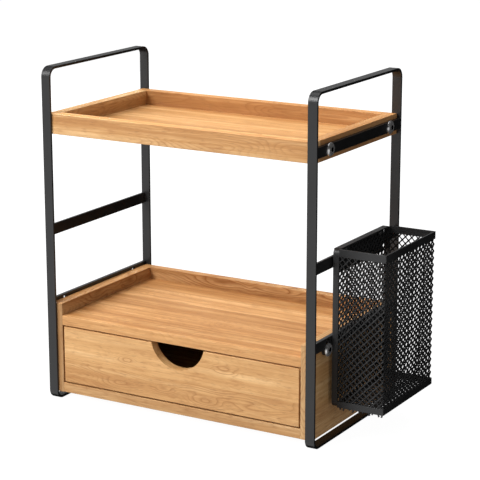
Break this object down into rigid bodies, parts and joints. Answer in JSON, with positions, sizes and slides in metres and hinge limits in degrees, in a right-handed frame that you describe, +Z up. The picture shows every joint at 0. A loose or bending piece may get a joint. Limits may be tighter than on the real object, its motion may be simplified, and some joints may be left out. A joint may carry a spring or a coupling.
{
  "type": "desk organizer",
  "caption": "Desk organizer: flat-steel side loops carry a shallow wooden tray above a wooden shelf box with a drawer; an expanded-metal basket hangs on the side.",
  "frame": {"origin": "on the desk, midway between the two side loops and midway between their front and rear posts; the side basket stands out beyond this footprint", "axes": "+X towards the side with the basket, +Y towards the back panel, +Z up; the drawer opens towards -Y"},
  "size_m": [0.4396, 0.215, 0.413],
  "materials": {
    "black_steel": "satin black powder coat",
    "mesh_steel": "satin black powder coat",
    "bolt_steel": "bright plated steel",
    "insert_brass": "machined",
    "oak": "light oiled hardwood, satin",
    "oak_panel": "light oiled hardwood panel, satin",
    "dowel_wood": "plain"
  },
  "bodies": {
    "frame": {"left_frame_loop": "black_steel", "right_frame_loop": "black_steel", "left_upper_crossbar": "black_steel", "right_upper_crossbar": "black_steel", "left_middle_crossbar": "black_steel", "right_middle_crossbar": "black_steel", "left_lower_crossbar": "black_steel", "right_lower_crossbar": "black_steel", "frame_bolts": "bolt_steel", "threaded_inserts": "insert_brass", "tray_front_wall": "oak", "tray_back_wall": "oak", "tray_left_wall": "oak", "tray_right_wall": "oak", "tray_floor": "oak_panel", "tray_dowels": "dowel_wood", "box_left_side": "oak", "box_right_side": "oak", "box_back_panel": "oak", "box_bottom_board": "oak", "box_shelf_board": "oak", "box_dowels": "dowel_wood"},
    "drawer": {"drawer_front": "oak", "drawer_left_side": "oak", "drawer_right_side": "oak", "drawer_back": "oak", "drawer_bottom": "oak_panel", "drawer_dowels": "dowel_wood"},
    "basket": {"basket_inner_loop": "black_steel", "basket_top_rim": "black_steel", "basket_bottom_rim": "black_steel", "basket_mesh_inner": "mesh_steel", "basket_mesh_front": "mesh_steel", "basket_mesh_right": "mesh_steel", "basket_mesh_rear": "mesh_steel", "basket_mesh_bottom": "mesh_steel", "basket_hanger_plate": "black_steel", "basket_rivets": "bolt_steel"}
  },
  "joints": [
    {"name": "drawer_slide", "type": "slide", "parent": "frame", "child": "drawer", "axis": [0, -1, 0], "range_m": [0, 0.145]},
    {"name": "basket_lift", "type": "slide", "parent": "frame", "child": "basket", "axis": [0, 0, 1], "range_m": [0, 0.03]}
  ]
}
